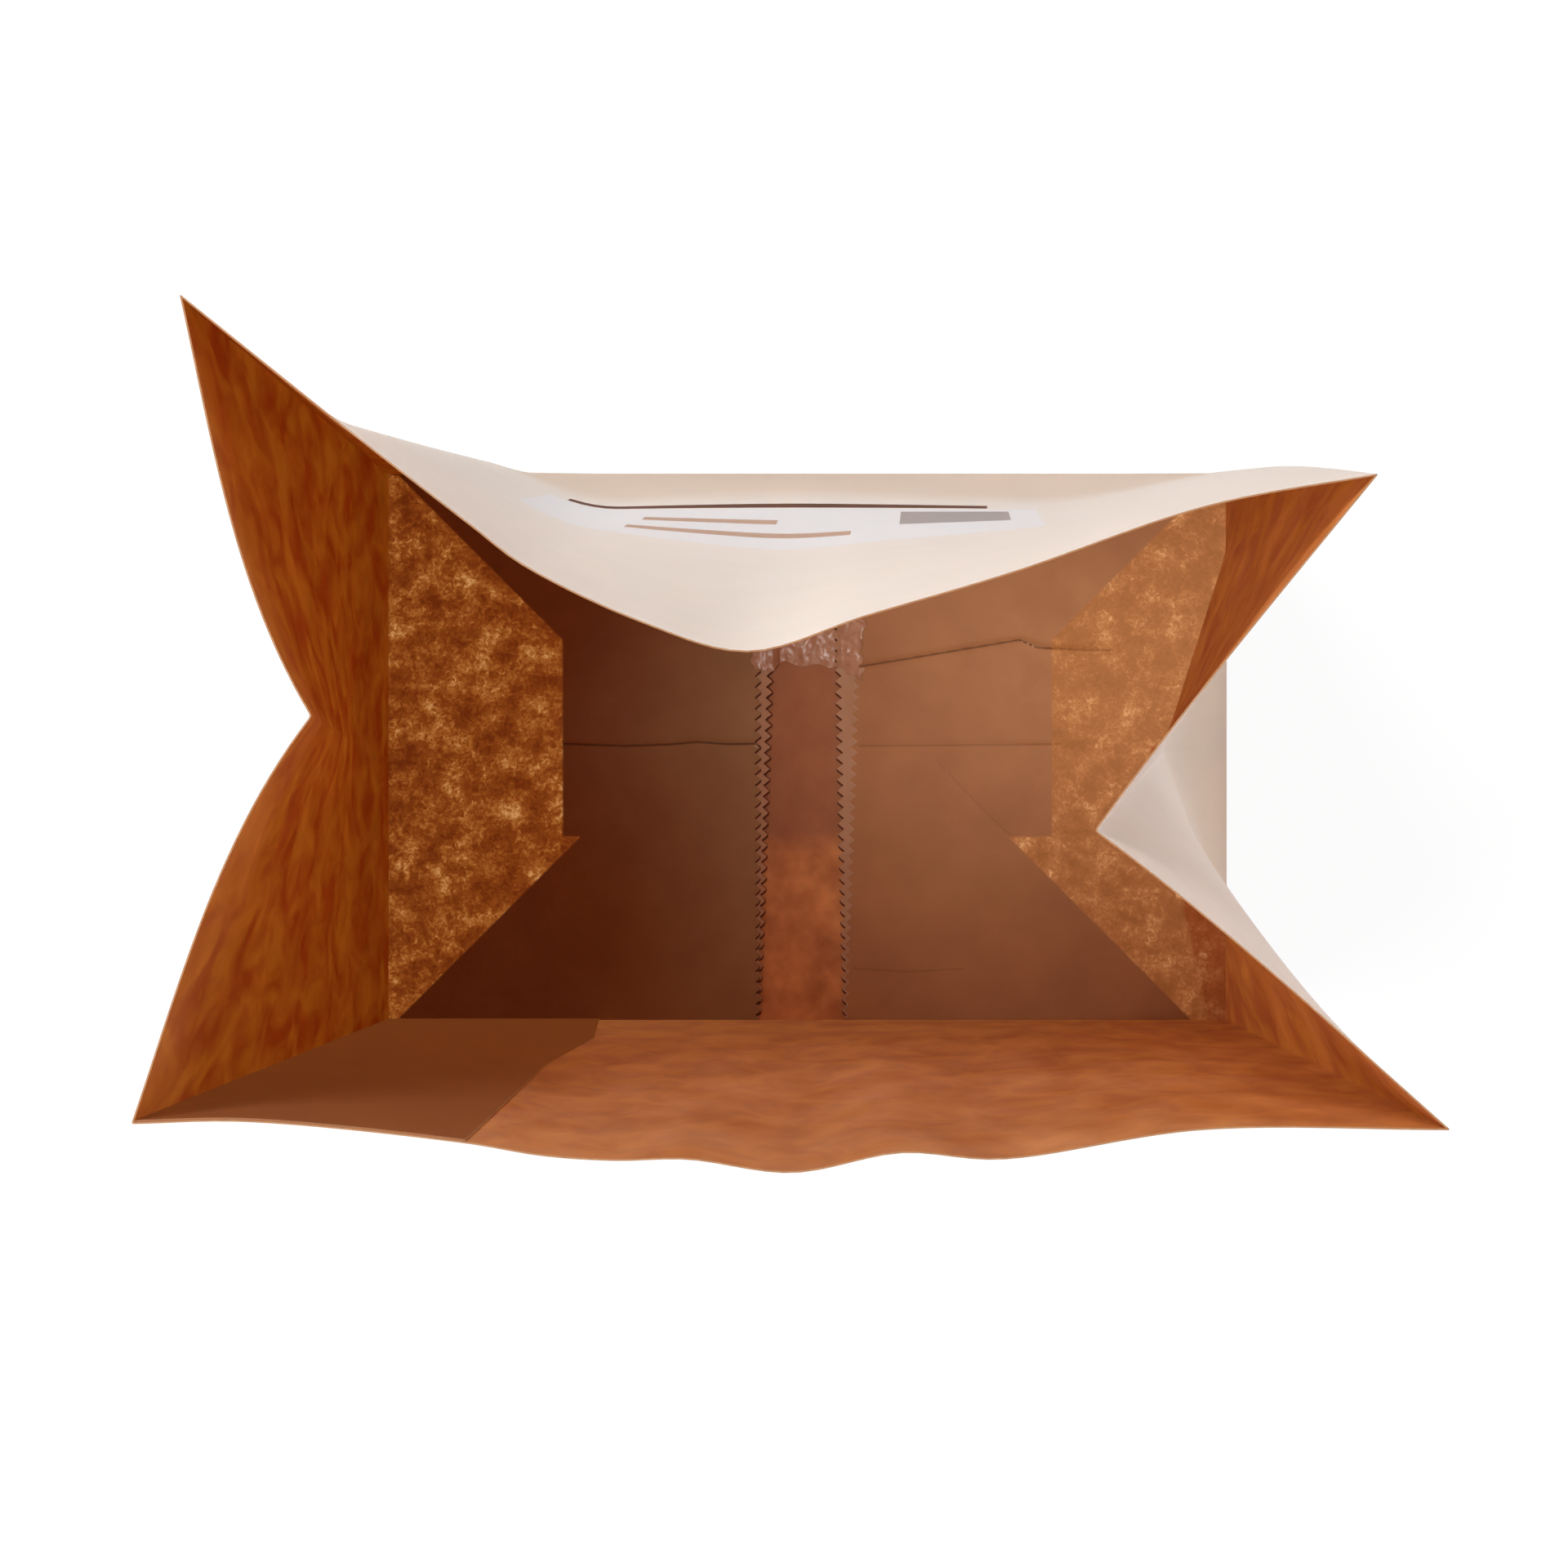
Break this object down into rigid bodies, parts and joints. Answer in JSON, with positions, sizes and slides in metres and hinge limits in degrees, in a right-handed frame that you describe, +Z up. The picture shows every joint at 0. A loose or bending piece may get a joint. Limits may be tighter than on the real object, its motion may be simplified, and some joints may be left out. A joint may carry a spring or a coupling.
{
  "type": "block bottom paper bag",
  "caption": "Open paper bag of folded two-ply kraft with side gussets, a pasted flat block bottom and a mouth pushed in at the back and at one side.",
  "frame": {"origin": "middle of the base's underside", "axes": "+Z up to the mouth, +X across the width to the more deeply folded gusset, +Y to the back panel"},
  "size_m": [0.2347, 0.1526, 0.3],
  "materials": {
    "paper": "matte, cream coated outside and brown kraft inside"
  },
  "bodies": {
    "root": {"bag": "paper"}
  },
  "joints": []
}
